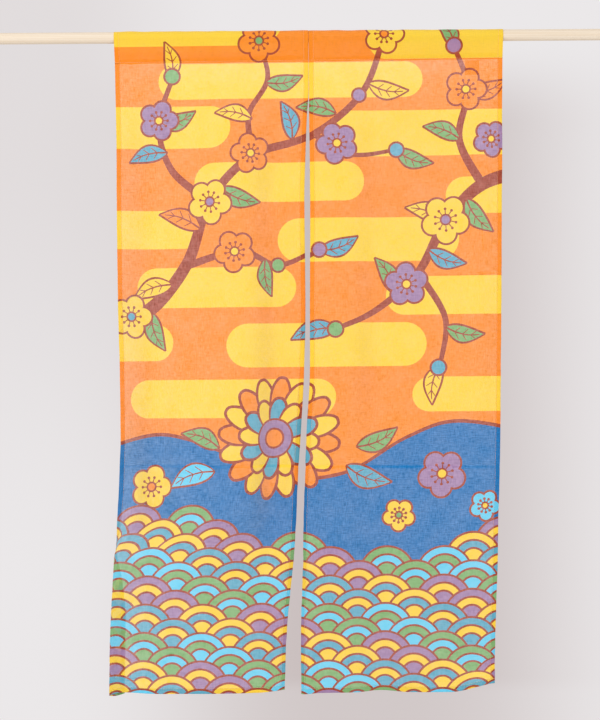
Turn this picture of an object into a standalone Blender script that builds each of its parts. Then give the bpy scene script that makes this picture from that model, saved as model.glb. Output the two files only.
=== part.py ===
"""A noren curtain on its wooden pole.

Two light cotton panels hang side by side from one straight pole. Each panel's
top edge is turned over to the back and sewn down, which makes the pocket that
the pole runs through. The panels are sewn to each other from the top edge down
to the start of the slit, and part below it. All sizes are in metres.

X runs along the pole, Y from the front of the cloth to its back, Z up. The
origin is on the pole's axis, in the middle of the cloth.
"""
import math

import bpy
import bmesh

MM = 0.001

# The pole
POLE_DIAMETER = 25 * MM
POLE_LENGTH = 1400 * MM
POLE_SIDES = 32
POLE_EDGE = 1.2 * MM

# The cloth as it is cut and sewn
PANEL_WIDTH = 425 * MM
CLOTH_THICKNESS = 1.2 * MM
HEM_THICKNESS = 2.0 * MM
SIDE_HEM = 11 * MM
BOTTOM_HEM = 12 * MM
HEM_STEP = 0.6 * MM
GAP = 0.3 * MM

# Heights are given as drops below the pole's axis
SEAM_DROP_LEFT = 57.5 * MM
SEAM_DROP_RIGHT = 52 * MM
HEM_DROP = 1434.5 * MM
POCKET_APEX = 4 * MM
# The cloth leaves the pole this far below its widest point, in degrees
POCKET_LEAVES = 12.5
POCKET_ARC_STEPS = 8

# The label sewn in at the pocket seam, behind the right panel
LABEL_LEFT = 343 * MM
LABEL_WIDTH = 31 * MM
LABEL_TOP_DROP = 53.5 * MM
LABEL_LENGTH = 32.5 * MM
LABEL_THICKNESS = 1.0 * MM

# Where the cloth's four long edges hang, in millimetres from the middle:
# drop, left panel outer, left panel at slit, right panel at slit, right outer
EDGES = (
    (0, -425.1, -0.15, 0.15, 425.1),
    (57, -423.8, -0.15, 0.15, 424.1),
    (113, -422.8, -0.15, 0.15, 423.2),
    (165, -421.7, -4.0, 0.2, 422.2),
    (248, -420.4, -7.8, 1.0, 421.9),
    (358, -420.6, -11.2, 1.2, 420.0),
    (576, -419.4, -10.4, -0.8, 417.3),
    (730, -416.2, -14.4, -2.0, 414.5),
    (861, -415.3, -22.4, -10.0, 412.8),
    (970, -420.2, -30.0, -14.2, 410.2),
    (1058, -427.4, -34.2, -17.8, 406.8),
    (1145, -433.2, -40.5, -19.4, 405.2),
    (1233, -438.8, -50.2, -22.9, 401.7),
    (1320, -443.2, -57.7, -25.4, 399.0),
    (1438, -445.6, -62.0, -25.4, 396.0),
)

# The upright waves in each panel: how many across the panel, their share of
# the slope, and where across the panel (0 left to 1 right) one stands forward,
# at the top and at the hem
WAVES = {
    "left_panel": (
        (1.42, 1.00, 0.62, 0.57),
        (2.90, 0.60, 0.30, 0.36),
        (4.70, 0.30, 0.72, 0.78),
    ),
    "right_panel": (
        (1.25, 1.00, 0.10, 0.02),
        (2.80, 0.75, 0.52, 0.58),
        (4.90, 0.40, 0.22, 0.27),
    ),
}

# Edges that roll to the back: panel, side (0 left, 1 right), the drops in
# millimetres where the roll starts and is full, its turn in degrees, and the
# distances from the edge in millimetres between which the cloth bends
ROLLS = (
    ("left_panel", 0, 860, 1320, 158, 30, 50),
    ("left_panel", 1, 700, 960, 42, 4, 26),
    ("right_panel", 0, 840, 980, 46, 4, 24),
    ("right_panel", 1, 1240, 1400, 20, 6, 40),
)

# Where the hem curls, lifts or dips: panel, place across (0 to 1), reach, and the
# shift there to the right, to the back and up, in millimetres
CORNERS = (
    ("left_panel", 0.06, 42, 0, 0, -7),
    ("left_panel", 0.17, 60, 0, 0, 3),
    ("left_panel", 1.00, 60, 0, 4, 5),
    ("right_panel", 0.00, 45, 0, -4, -3),
    ("right_panel", 0.42, 60, 0, 0, 4),
    ("right_panel", 1.00, 100, 0, -16, 20),
)

# How far a panel billows forward of the pole, in millimetres: drop, left, right
BILLOW = (
    (55, 0, 0),
    (400, 2, 5),
    (900, 3, 12),
    (1250, 2, 9),
    (1436, 4, 6),
)

# Mesh columns across a panel and rows below the pocket seam, in millimetres
COLUMNS_BY_HEM = (0, 5.5)
COLUMNS_LEFT = (20, 26, 32, 38, 45, 56)
COLUMNS_MIDDLE = (80, 108, 137, 166, 195, 224, 253, 282, 311, 340, 366)
COLUMNS_RIGHT = (386, 398, 406)
ROWS = (
    0, 22, 50, 95, 150, 215, 290, 370, 450, 530, 610, 690, 765,
    840, 910, 975, 1030, 1065, 1095, 1130, 1170, 1212, 1255, 1295, 1330, 1355,
)

# The gentlest slope that the waves keep, in radians, and the drop at which
# they are fully grown
LEAST_WAVE = 0.10
WAVES_GROWN_DROP = 250 * MM

# How finely a section is worked out, and the steepest slope that it tries
SECTION_STEPS = 170
STEEPEST_WAVE = 0.9
STRENGTH_TRIES = 24

COTTON_COLOUR = (0.95, 0.50, 0.12, 1.0)
WOOD_COLOUR = (0.90, 0.74, 0.56, 1.0)
LABEL_COLOUR = (0.90, 0.88, 0.84, 1.0)


def smooth(start, end, value):
    """Rise from 0 at start to 1 at end, level at both."""
    share = min(1.0, max(0.0, (value - start) / (end - start)))
    return share * share * (3.0 - 2.0 * share)


def curve(rows, column, place):
    """Read a table's column at a place in its first column, without overshoot."""
    if place <= rows[0][0]:
        return rows[0][column]
    if place >= rows[-1][0]:
        return rows[-1][column]
    steps = []
    for low, high in zip(rows, rows[1:]):
        steps.append((high[column] - low[column]) / (high[0] - low[0]))
    slopes = [steps[0]]
    for before, after in zip(steps, steps[1:]):
        level = before * after <= 0.0
        slopes.append(0.0 if level else 2.0 * before * after / (before + after))
    slopes.append(steps[-1])
    index = max(i for i in range(len(steps)) if rows[i][0] <= place)
    span = rows[index + 1][0] - rows[index][0]
    t = (place - rows[index][0]) / span
    start = (2 * t ** 3 - 3 * t ** 2 + 1) * rows[index][column]
    end = (3 * t ** 2 - 2 * t ** 3) * rows[index + 1][column]
    lead = (t ** 3 - 2 * t ** 2 + t) * span * slopes[index]
    tail = (t ** 3 - t ** 2) * span * slopes[index + 1]
    return start + end + lead + tail


def roll_turn(panel, drop, distance):
    """The turn, in radians, that rolled edges add at a distance from the left."""
    turn = 0.0
    for name, side, start, full, degrees, near, far in ROLLS:
        if name != panel:
            continue
        from_edge = PANEL_WIDTH - distance if side else distance
        share = smooth(start * MM, full * MM, drop) * smooth(far * MM, near * MM, from_edge)
        turn += math.radians(degrees) * share * (1 if side else -1)
    return turn


def wave_turn(panel, drop, distance):
    """The slope pattern of the panel's upright waves, before its strength."""
    down = drop / HEM_DROP
    turn = 0.0
    for count, share, top_place, hem_place in WAVES[panel]:
        place = top_place + (hem_place - top_place) * down
        turn += share * math.sin(2 * math.pi * count * (distance / PANEL_WIDTH - place))
    return turn


def section(panel, drop):
    """The panel's cross-section at a drop, as points (distance, x, y).

    The cloth keeps its width: where its edges hang closer together than that,
    the waves are as deep as it takes.
    """
    first = 1 if panel == "left_panel" else 3
    left = curve(EDGES, first, drop / MM) * MM
    right = curve(EDGES, first + 1, drop / MM) * MM
    step = PANEL_WIDTH / SECTION_STEPS
    middles = [(i + 0.5) * step for i in range(SECTION_STEPS)]
    rolls = [roll_turn(panel, drop, place) for place in middles]
    waves = [wave_turn(panel, drop, place) for place in middles]

    def span(strength):
        return sum(math.cos(r + strength * w) for r, w in zip(rolls, waves)) * step

    low, high = 0.0, STEEPEST_WAVE
    for _ in range(STRENGTH_TRIES):
        strength = (low + high) / 2
        if span(strength) > span_wanted(left, right, rolls, step):
            low = strength
        else:
            high = strength
    strength = max(low, LEAST_WAVE) * smooth(SEAM_DROP_RIGHT, WAVES_GROWN_DROP, drop)
    points = [(0.0, 0.0, 0.0)]
    for place, roll, wave in zip(middles, rolls, waves):
        turn = roll + strength * wave
        distance, x, y = points[-1]
        points.append((place + step / 2, x + math.cos(turn) * step, y + math.sin(turn) * step))
    low_x = min(x for _, x, _ in points)
    high_x = max(x for _, x, _ in points)
    mean_y = sum(y for _, _, y in points) / len(points)
    forward = curve(BILLOW, 1 if panel == "left_panel" else 2, drop / MM) * MM
    stretch = (right - left) / (high_x - low_x)
    return [(d, left + (x - low_x) * stretch, y - mean_y - forward) for d, x, y in points]


def span_wanted(left, right, rolls, step):
    """The distance from one end of the cloth's width to the other.

    A rolled edge lies behind the outline, so its end is nearer than the fold.
    """
    behind = sum(max(0.0, -math.cos(r)) for r in rolls) * step
    return right - left - behind


def read_section(points, distance):
    """The (x, y) of a section at a distance across the cloth."""
    place = distance / PANEL_WIDTH * (len(points) - 1)
    index = min(int(place), len(points) - 2)
    share = place - index
    _, x0, y0 = points[index]
    _, x1, y1 = points[index + 1]
    return x0 + (x1 - x0) * share, y0 + (y1 - y0) * share


def section_normal(points, distance):
    """The unit vector (x, y) to the back of the cloth at a distance across it."""
    reach = PANEL_WIDTH / SECTION_STEPS
    x0, y0 = read_section(points, max(0.0, distance - reach))
    x1, y1 = read_section(points, min(PANEL_WIDTH, distance + reach))
    length = math.hypot(x1 - x0, y1 - y0)
    return -(y1 - y0) / length, (x1 - x0) / length


def seam_drop(x):
    """The pocket seam's drop, which is a little longer on the left."""
    share = (x + PANEL_WIDTH) / (2 * PANEL_WIDTH)
    return SEAM_DROP_LEFT + (SEAM_DROP_RIGHT - SEAM_DROP_LEFT) * share


def corner_shift(panel, distance, above_hem):
    """How the curls and dips of the hem move a point of the panel."""
    shift = [0.0, 0.0, 0.0]
    for name, place, reach, right, back, up in CORNERS:
        if name != panel:
            continue
        away = math.hypot(distance - place * PANEL_WIDTH, above_hem)
        share = smooth(reach * MM, 0.0, away)
        for axis, size in enumerate((right, back, up)):
            shift[axis] += size * MM * share
    return shift


def column_places():
    """Distances across a panel, with a narrow step at the inside of each hem."""
    hem = [place * MM for place in COLUMNS_BY_HEM] + [SIDE_HEM, SIDE_HEM + HEM_STEP]
    middle = [place * MM for place in COLUMNS_LEFT + COLUMNS_MIDDLE + COLUMNS_RIGHT]
    return hem + middle + [PANEL_WIDTH - place for place in reversed(hem)]


def row_places(length):
    """Distances below the seam, with a narrow step at the top of the hem."""
    rows = [place * MM for place in ROWS]
    return rows + [length - BOTTOM_HEM - HEM_STEP, length - BOTTOM_HEM, length]


def in_hem(distance, below_seam, length):
    """Whether a point of the panel is on the doubled cloth of a hem."""
    at_side = min(distance, PANEL_WIDTH - distance) <= SIDE_HEM + 1e-6
    return at_side or below_seam >= length - BOTTOM_HEM - 1e-6


def pocket_profile(seam):
    """Outer and inner points (y, z) round the pole, from the seam's front to its back."""
    half_step = math.radians(90 + POCKET_LEAVES) / POCKET_ARC_STEPS
    inside = (POLE_DIAMETER / 2 + GAP) / math.cos(half_step)
    apex_drop = seam - POCKET_APEX
    outer = [(-CLOTH_THICKNESS, -apex_drop)]
    inner = [(0.0, -apex_drop)]
    for step in range(POCKET_ARC_STEPS + 1):
        angle = math.radians(180 + POCKET_LEAVES) - 2 * half_step * step
        across, up = math.cos(angle), math.sin(angle)
        outer.append((across * (inside + CLOTH_THICKNESS), up * (inside + CLOTH_THICKNESS)))
        inner.append((across * inside, up * inside))
    outer.append((CLOTH_THICKNESS, -apex_drop))
    return outer, inner


def panel_mesh(panel):
    """One closed body: the hanging sheet, its hems, and the pocket over the pole."""
    columns = column_places()
    length = HEM_DROP - SEAM_DROP_RIGHT
    rows = row_places(length)
    sections = [section(panel, SEAM_DROP_RIGHT + row) for row in rows]
    top = section(panel, 0.0)
    bm = bmesh.new()
    outer_loops = []
    inner_loops = []
    for distance in columns:
        x_top = read_section(top, distance)[0]
        seam = seam_drop(x_top)
        front = []
        back = []
        for row, points in zip(rows, sections):
            x, y = read_section(points, distance)
            back_x, back_y = section_normal(points, distance)
            drop = seam + row / length * (HEM_DROP - seam)
            shift = corner_shift(panel, distance, length - row)
            extra = HEM_THICKNESS - CLOTH_THICKNESS if in_hem(distance, row, length) else 0.0
            for side, offset in ((front, -CLOTH_THICKNESS), (back, extra)):
                place = (x + back_x * offset + shift[0], y + back_y * offset + shift[1])
                side.append(bm.verts.new((*place, shift[2] - drop)))
        profile_out, profile_in = pocket_profile(seam)
        pocket_out = [bm.verts.new((x_top, y, z)) for y, z in profile_out]
        inner_loops.append([bm.verts.new((x_top, y, z)) for y, z in profile_in])
        lip = bm.verts.new((x_top, CLOTH_THICKNESS, -seam))
        outer_loops.append(front[::-1] + pocket_out + [lip] + back)
    skin_loops(bm, outer_loops, len(outer_loops[0]) - len(rows))
    skin_loops(bm, inner_loops, len(inner_loops[0]))
    close_side(bm, outer_loops[0], inner_loops[0], len(rows))
    close_side(bm, outer_loops[-1], inner_loops[-1], len(rows))
    bmesh.ops.recalc_face_normals(bm, faces=bm.faces)
    return bm


def skin_loops(bm, loops, back_start):
    """Join neighbouring loops with triangles.

    From back_start on, a loop runs down the back of the cloth. Its faces are cut
    along the same diagonal as those in front, so that the two sides of a twisted
    sheet stay apart.
    """
    for left, right in zip(loops, loops[1:]):
        for i in range(len(left)):
            j = (i + 1) % len(left)
            if i < back_start:
                bm.faces.new((left[i], left[j], right[j]))
                bm.faces.new((left[i], right[j], right[i]))
            else:
                bm.faces.new((left[i], left[j], right[i]))
                bm.faces.new((left[j], right[j], right[i]))


def close_side(bm, outer, inner, row_count):
    """Fill a panel's long edge: the sheet, the sewn seam and the pocket's wall."""
    front = outer[:row_count][::-1]
    back = outer[-row_count:]
    pocket = outer[row_count:-row_count - 1]
    lip = outer[-row_count - 1]
    for row in range(row_count - 1):
        bm.faces.new((front[row], front[row + 1], back[row + 1], back[row]))
    bm.faces.new((front[0], back[0], inner[0], pocket[0]))
    bm.faces.new((back[0], lip, pocket[-1], inner[0]))
    ring = inner + inner[:1]
    for step in range(len(pocket) - 1):
        bm.faces.new((pocket[step], ring[step], ring[step + 1], pocket[step + 1]))


def label_mesh():
    """A small flat tab that hangs from the pocket seam, close behind the cloth."""
    bm = bmesh.new()
    layers = []
    for offset in (GAP, GAP + LABEL_THICKNESS):
        grid = []
        for down in (0.0, 0.5, 1.0):
            drop = LABEL_TOP_DROP + down * LABEL_LENGTH
            points = section("right_panel", drop)
            line = []
            for across in (0.0, 0.5, 1.0):
                distance = LABEL_LEFT + across * LABEL_WIDTH
                x, y = read_section(points, distance)
                line.append(bm.verts.new((x, y + offset, -drop)))
            grid.append(line)
        layers.append(grid)
    near, far = layers
    for grid in layers:
        for upper, lower in zip(grid, grid[1:]):
            for i in range(2):
                bm.faces.new((upper[i], upper[i + 1], lower[i + 1], lower[i]))
    rim_near = near[0] + [line[-1] for line in near[1:]]
    rim_near += near[-1][-2::-1] + [near[1][0]]
    rim_far = far[0] + [line[-1] for line in far[1:]]
    rim_far += far[-1][-2::-1] + [far[1][0]]
    for i in range(len(rim_near)):
        j = (i + 1) % len(rim_near)
        bm.faces.new((rim_near[i], rim_near[j], rim_far[j], rim_far[i]))
    bmesh.ops.recalc_face_normals(bm, faces=bm.faces)
    return bm


def make_material(name, colour, roughness):
    """A plain Principled material."""
    material = bpy.data.materials.new(name)
    material.use_nodes = True
    shader = material.node_tree.nodes["Principled BSDF"]
    shader.inputs["Base Color"].default_value = colour
    shader.inputs["Roughness"].default_value = roughness
    shader.inputs["Metallic"].default_value = 0.0
    return material


def add_object(name, bm, material, sharp_degrees):
    """Turn a bmesh into a named, smooth-shaded object."""
    mesh = bpy.data.meshes.new(name)
    bm.to_mesh(mesh)
    bm.free()
    mesh.shade_smooth()
    mesh.set_sharp_from_angle(angle=math.radians(sharp_degrees))
    mesh.materials.append(material)
    thing = bpy.data.objects.new(name, mesh)
    bpy.context.scene.collection.objects.link(thing)
    return thing


def add_pole():
    """The round wooden pole, its two ends cut square with a broken edge."""
    bm = bmesh.new()
    radius = POLE_DIAMETER / 2
    bmesh.ops.create_cone(
        bm, cap_ends=True, segments=POLE_SIDES, radius1=radius, radius2=radius, depth=POLE_LENGTH
    )
    material = make_material("pale_wood", WOOD_COLOUR, 0.55)
    pole = add_object("pole", bm, material, 40)
    pole.rotation_euler = (0.0, math.radians(90), 0.0)
    edge = pole.modifiers.new("broken_edge", "BEVEL")
    edge.width = POLE_EDGE
    edge.segments = 2
    edge.limit_method = "ANGLE"
    edge.angle_limit = math.radians(60)


def main():
    for thing in list(bpy.data.objects):
        bpy.data.objects.remove(thing, do_unlink=True)
    add_pole()
    cotton = make_material("printed_cotton", COTTON_COLOUR, 0.9)
    for panel in ("left_panel", "right_panel"):
        add_object(panel, panel_mesh(panel), cotton, 50)
    label_cloth = make_material("label_tape", LABEL_COLOUR, 0.8)
    add_object("label", label_mesh(), label_cloth, 40)


main()
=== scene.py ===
# %% [markdown]
# # A noren on its pole
#
# A noren is a short curtain that hangs in a doorway. This one is two panels of thin
# printed cotton, sewn together at the top and open below, with a pocket along the
# top edge for a round wooden pole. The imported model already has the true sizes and
# the true hang. This lesson gives it its looks: a see-through printed cloth with
# hems, creases and stitches, a woven label, and grain in the wood.

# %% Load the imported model
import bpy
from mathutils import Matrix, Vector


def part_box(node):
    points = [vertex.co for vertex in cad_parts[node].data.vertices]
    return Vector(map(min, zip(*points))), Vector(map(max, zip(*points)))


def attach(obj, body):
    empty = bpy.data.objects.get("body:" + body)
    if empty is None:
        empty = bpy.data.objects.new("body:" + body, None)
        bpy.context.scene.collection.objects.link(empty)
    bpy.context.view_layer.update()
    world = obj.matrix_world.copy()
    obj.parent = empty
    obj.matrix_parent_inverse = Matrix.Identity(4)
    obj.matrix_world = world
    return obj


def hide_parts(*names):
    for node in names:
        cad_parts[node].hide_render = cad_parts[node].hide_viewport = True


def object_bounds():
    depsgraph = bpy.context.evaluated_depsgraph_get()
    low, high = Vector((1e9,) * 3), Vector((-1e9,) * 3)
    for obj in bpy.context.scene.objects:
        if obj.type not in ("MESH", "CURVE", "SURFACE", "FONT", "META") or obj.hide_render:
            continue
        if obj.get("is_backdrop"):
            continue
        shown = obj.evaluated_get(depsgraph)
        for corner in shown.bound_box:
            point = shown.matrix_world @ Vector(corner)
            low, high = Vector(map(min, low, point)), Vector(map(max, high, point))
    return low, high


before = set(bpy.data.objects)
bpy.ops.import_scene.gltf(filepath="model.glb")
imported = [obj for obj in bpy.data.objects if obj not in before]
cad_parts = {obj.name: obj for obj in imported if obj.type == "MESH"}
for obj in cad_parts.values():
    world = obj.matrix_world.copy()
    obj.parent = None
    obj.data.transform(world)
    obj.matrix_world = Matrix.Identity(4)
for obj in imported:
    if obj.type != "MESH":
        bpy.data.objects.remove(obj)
packed_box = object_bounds()
print("nodes:", sorted(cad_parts))

# %% Modules
import math

import bmesh
import bpy
import numpy as np
from mathutils.geometry import delaunay_2d_cdt

MM = 0.001

# %% [markdown]
# ## Small helpers
#
# Colours are picked as sRGB hex, as a maker reads them from a dye card. Blender's
# sockets hold linear light, so one function turns the one into the other. A second
# function adds a shader node with its settings and its links, which keeps each
# material below short enough to read.

# %% Colour and node helpers
def linear(hex_colour):
    """An sRGB hex colour as four linear numbers."""
    channels = []
    for start in (1, 3, 5):
        value = int(hex_colour[start:start + 2], 16) / 255
        low = value <= 0.04045
        channels.append(value / 12.92 if low else ((value + 0.055) / 1.055) ** 2.4)
    return (*channels, 1.0)


def add_node(tree, kind, inputs=None, **settings):
    """Add a node. Each input is given a value, or is linked to an output socket."""
    made = tree.nodes.new(kind)
    for name, value in settings.items():
        setattr(made, name, value)
    for place, value in (inputs or {}).items():
        if isinstance(value, bpy.types.NodeSocket):
            tree.links.new(value, made.inputs[place])
        else:
            made.inputs[place].default_value = value
    return made


def new_material(name):
    """An empty node material and its output node."""
    material = bpy.data.materials.new(name)
    material.use_nodes = True
    material.node_tree.nodes.clear()
    output = add_node(material.node_tree, "ShaderNodeOutputMaterial")
    return material, material.node_tree, output


def new_object(name, mesh, material):
    """A mesh object in the scene, with its one material."""
    mesh.materials.append(material)
    thing = bpy.data.objects.new(name, mesh)
    bpy.context.scene.collection.objects.link(thing)
    return thing

# %% [markdown]
# ## The camera
#
# The noren is seen square on from its middle height, through a long lens, so the
# panels' edges stay nearly parallel. The picture's height covers 1.575 m at the
# cloth. The lens follows from that and from how far off the camera stands, and the
# camera is rolled by 0.4 degrees, as the pole climbs a little to the right.

# %% Camera
CAMERA_AWAY = 4.6
PICTURE_HEIGHT = 1.575
PICTURE_CENTRE_X = -23.3 * MM
PICTURE_CENTRE_DROP = 707.3 * MM
CAMERA_ROLL = math.radians(0.4)

camera_data = bpy.data.cameras.new("camera")
camera_data.sensor_fit = "VERTICAL"
camera_data.sensor_height = 36.0
camera_data.lens = 36.0 * CAMERA_AWAY / PICTURE_HEIGHT
camera = bpy.data.objects.new("camera", camera_data)
camera.location = (PICTURE_CENTRE_X, -CAMERA_AWAY, -PICTURE_CENTRE_DROP)
camera.rotation_euler = (math.radians(90), CAMERA_ROLL, 0.0)
bpy.context.scene.collection.objects.link(camera)
bpy.context.scene.camera = camera
bpy.context.scene.view_settings.view_transform = "Standard"
print(f"lens {camera_data.lens:.0f} mm")

# %% [markdown]
# ## The studio
#
# The background is a pale studio, made in the world, by direction, so nothing stands
# behind the curtain to block the light or the view from behind. Straight behind the
# curtain it is darker with a painted shadow, standing in for the light the curtain
# keeps off what is there, and that painted shadow reaches a little past its right
# side. The left side darkens towards the top with painted shade. A pale floor lies
# below the hem and fades out towards its rim.

# %% World
BACKGROUND = linear("#EBE8E9")
# The painted shadow's colour, straight behind the curtain
CURTAIN_SHADOW_TONE = linear("#C9BEBD")
SHADE_MIDDLE = 0.03
SHADE_REACH = 0.092

world = bpy.data.worlds.new("studio")
bpy.context.scene.world = world
world.use_nodes = True
sky = world.node_tree
sky.nodes.clear()


def combine(operation, first, second=0.0):
    """One sum on the numbers of a direction."""
    return add_node(sky, "ShaderNodeMath", {0: first, 1: second}, operation=operation).outputs[0]


def ease(value, start, end, low=0.0, high=1.0):
    """Change smoothly from low to high as the value goes from start to end."""
    return add_node(
        sky, "ShaderNodeMapRange", {0: value, 1: start, 2: end, 3: low, 4: high},
        interpolation_type="SMOOTHSTEP",
    ).outputs[0]


direction = add_node(sky, "ShaderNodeTexCoord").outputs["Generated"]
right, back, up = add_node(sky, "ShaderNodeSeparateXYZ", {0: direction}).outputs
# Painted shadow behind the curtain and a little to its right, and painted shade on the left
off_middle = combine("ABSOLUTE", combine("SUBTRACT", right, SHADE_MIDDLE))
fall = combine("POWER", combine("DIVIDE", off_middle, SHADE_REACH), 3.0)
shade = combine("POWER", math.e, combine("MULTIPLY", fall, -1.0))
shade = combine("MULTIPLY", shade, ease(up, 0.150, 0.108))
shade = combine("MULTIPLY", shade, ease(up, -0.148, -0.157, 1.0, 0.78))
left_shade = combine("MULTIPLY", ease(right, -0.03, -0.11), ease(up, -0.11, 0.11, 0.0, 0.30))
shade = combine("MULTIPLY", combine("ADD", shade, left_shade), ease(back, 0.5, 0.9))
backdrop_tone = add_node(
    sky, "ShaderNodeMix", {0: shade, 6: BACKGROUND, 7: CURTAIN_SHADOW_TONE}, data_type="RGBA"
).outputs[2]
glow = add_node(sky, "ShaderNodeBackground", {0: backdrop_tone, 1: 1.0})
add_node(sky, "ShaderNodeOutputWorld", {0: glow.outputs[0]})
print("world ready")

# %% Floor
FLOOR_DROP = 1750 * MM
FLOOR_FLAT = 0.75
FLOOR_RADIUS = 1.45

floor_material, tree, output = new_material("pale_studio_floor")
place = add_node(tree, "ShaderNodeNewGeometry").outputs["Position"]
flat_place = add_node(tree, "ShaderNodeVectorMath", {0: place, 1: (1.0, 1.0, 0.0)}, operation="MULTIPLY")
from_middle = add_node(tree, "ShaderNodeVectorMath", {0: flat_place.outputs[0]}, operation="LENGTH")
fade = add_node(
    tree, "ShaderNodeMapRange", {0: from_middle.outputs["Value"], 1: FLOOR_FLAT, 2: FLOOR_RADIUS},
    interpolation_type="SMOOTHERSTEP",
)
matte = add_node(tree, "ShaderNodeBsdfPrincipled", {"Base Color": linear("#F2F0EF"), "Roughness": 0.9})
clear = add_node(tree, "ShaderNodeBsdfTransparent")
floor_mix = add_node(
    tree, "ShaderNodeMixShader", {0: fade.outputs[0], 1: matte.outputs[0], 2: clear.outputs[0]}
)
tree.links.new(floor_mix.outputs[0], output.inputs[0])

floor_bm = bmesh.new()
bmesh.ops.create_circle(floor_bm, cap_ends=True, segments=96, radius=FLOOR_RADIUS)
floor_mesh = bpy.data.meshes.new("floor")
floor_bm.to_mesh(floor_mesh)
floor_bm.free()
floor = new_object("floor", floor_mesh, floor_material)
floor.location.z = -FLOOR_DROP
floor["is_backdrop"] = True
print("floor at", -FLOOR_DROP)

# %% [markdown]
# ## How the cloth hangs
#
# Each panel is 425 mm wide and its own edges are measured: where they hang closer
# together than 425 mm, the cloth must stand in waves, since cotton doesn't shrink.
# So a cross-section is solved at each height: the slope follows a few sine waves,
# and their strength is what makes the section exactly 425 mm long. Edges may roll
# to the back as well. These are the sizes and rules that the solid model was made
# with, worked out more finely here.

# %% Sizes of the hanging cloth
POLE_RADIUS = 12.5 * MM
PANEL_WIDTH = 425 * MM
SIDE_HEM = 11 * MM
BOTTOM_HEM = 12 * MM
SEAM_DROP_LEFT = 57.5 * MM
SEAM_DROP_RIGHT = 52 * MM
HEM_DROP = 1434.5 * MM
CLOTH_LENGTH = HEM_DROP - SEAM_DROP_RIGHT

# Where the cloth's four long edges hang, in millimetres from the middle:
# drop, left panel outer, left panel at slit, right panel at slit, right outer
EDGES = (
    (0, -425.1, -0.15, 0.15, 425.1),
    (57, -423.8, -0.15, 0.15, 424.1),
    (113, -422.8, -0.15, 0.15, 423.2),
    (165, -421.7, -4.0, 0.2, 422.2),
    (248, -420.4, -7.8, 1.0, 421.9),
    (358, -420.6, -11.2, 1.2, 420.0),
    (576, -419.4, -10.4, -0.8, 417.3),
    (730, -416.2, -14.4, -2.0, 414.5),
    (861, -415.3, -22.4, -10.0, 412.8),
    (970, -420.2, -30.0, -14.2, 410.2),
    (1058, -427.4, -34.2, -17.8, 406.8),
    (1145, -433.2, -40.5, -19.4, 405.2),
    (1233, -438.8, -50.2, -22.9, 401.7),
    (1320, -443.2, -57.7, -25.4, 399.0),
    (1438, -445.6, -62.0, -25.4, 396.0),
)

# %% Waves, rolls and curls of the cloth
# The upright waves: how many across the panel, their share of the slope, and
# where across the panel (0 to 1) one stands forward, at the top and at the hem
WAVES = {
    "left_panel": ((1.42, 1.00, 0.62, 0.57), (2.90, 0.60, 0.30, 0.36), (4.70, 0.30, 0.72, 0.78)),
    "right_panel": ((1.25, 1.00, 0.10, 0.02), (2.80, 0.75, 0.52, 0.58), (4.90, 0.40, 0.22, 0.27)),
}
LEAST_WAVE = 0.10
STEEPEST_WAVE = 0.9
WAVES_GROWN_DROP = 250 * MM

# Edges that roll to the back: panel, side (0 left, 1 right), the drops where the
# roll starts and is full, its turn in degrees, and where it bends from the edge
ROLLS = (
    ("left_panel", 0, 860, 1320, 158, 30, 50),
    ("left_panel", 1, 700, 960, 42, 4, 26),
    ("right_panel", 0, 840, 980, 46, 4, 24),
    ("right_panel", 1, 1240, 1400, 20, 6, 40),
)

# Where the hem curls, lifts or dips: panel, place across (0 to 1), reach, and the
# shift there to the right, to the back and up, in millimetres
CORNERS = (
    ("left_panel", 0.06, 42, 0, 0, -7),
    ("left_panel", 0.17, 60, 0, 0, 3),
    ("left_panel", 1.00, 60, 0, 4, 5),
    ("right_panel", 0.00, 45, 0, -4, -3),
    ("right_panel", 0.42, 60, 0, 0, 4),
    ("right_panel", 1.00, 100, 0, -16, 20),
)

# How far a panel billows forward of the pole: drop, left, right, in millimetres
BILLOW = ((55, 0, 0), (400, 2, 5), (900, 3, 12), (1250, 2, 9), (1436, 4, 6))
PANELS = ("left_panel", "right_panel")

# %% Curves through short tables
def smooth(start, end, value):
    """Rise from 0 at start to 1 at end, level at both."""
    share = np.clip((value - start) / (end - start), 0.0, 1.0)
    return share * share * (3.0 - 2.0 * share)


def curve(rows, column, place):
    """Read a table's column at places in its first column, without overshoot."""
    table = np.array(rows, float)
    at = table[:, 0]
    values = table[:, column]
    steps = np.diff(values) / np.diff(at)
    slopes = np.zeros(len(at))
    slopes[0] = steps[0]
    slopes[-1] = steps[-1]
    for i in range(1, len(steps)):
        if steps[i - 1] * steps[i] > 0:
            slopes[i] = 2 * steps[i - 1] * steps[i] / (steps[i - 1] + steps[i])
    place = np.clip(place, at[0], at[-1])
    index = np.clip(np.searchsorted(at, place, side="right") - 1, 0, len(steps) - 1)
    span = at[index + 1] - at[index]
    t = (place - at[index]) / span
    start = (2 * t ** 3 - 3 * t ** 2 + 1) * values[index]
    end = (3 * t ** 2 - 2 * t ** 3) * values[index + 1]
    lead = (t ** 3 - 2 * t ** 2 + t) * span * slopes[index]
    tail = (t ** 3 - t ** 2) * span * slopes[index + 1]
    return start + end + lead + tail

# %% Cross-sections, from the pole's height to the hem
SECTION_STEPS = 425
SECTION_ROWS = 560


def roll_turns(panel, drop, distance):
    """The turn, in radians, that rolled edges add."""
    turn = np.zeros(np.broadcast(drop, distance).shape)
    for name, side, start, full, degrees, near, far in ROLLS:
        if name == panel:
            from_edge = PANEL_WIDTH - distance if side else distance
            share = smooth(start * MM, full * MM, drop) * smooth(far * MM, near * MM, from_edge)
            turn = turn + math.radians(degrees) * share * (1 if side else -1)
    return turn


def wave_turns(panel, drop, distance):
    """The slope pattern of the upright waves, before its strength."""
    turn = 0.0
    for count, share, top_place, hem_place in WAVES[panel]:
        place = top_place + (hem_place - top_place) * drop / HEM_DROP
        turn = turn + share * np.sin(2 * math.pi * count * (distance / PANEL_WIDTH - place))
    return turn

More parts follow.
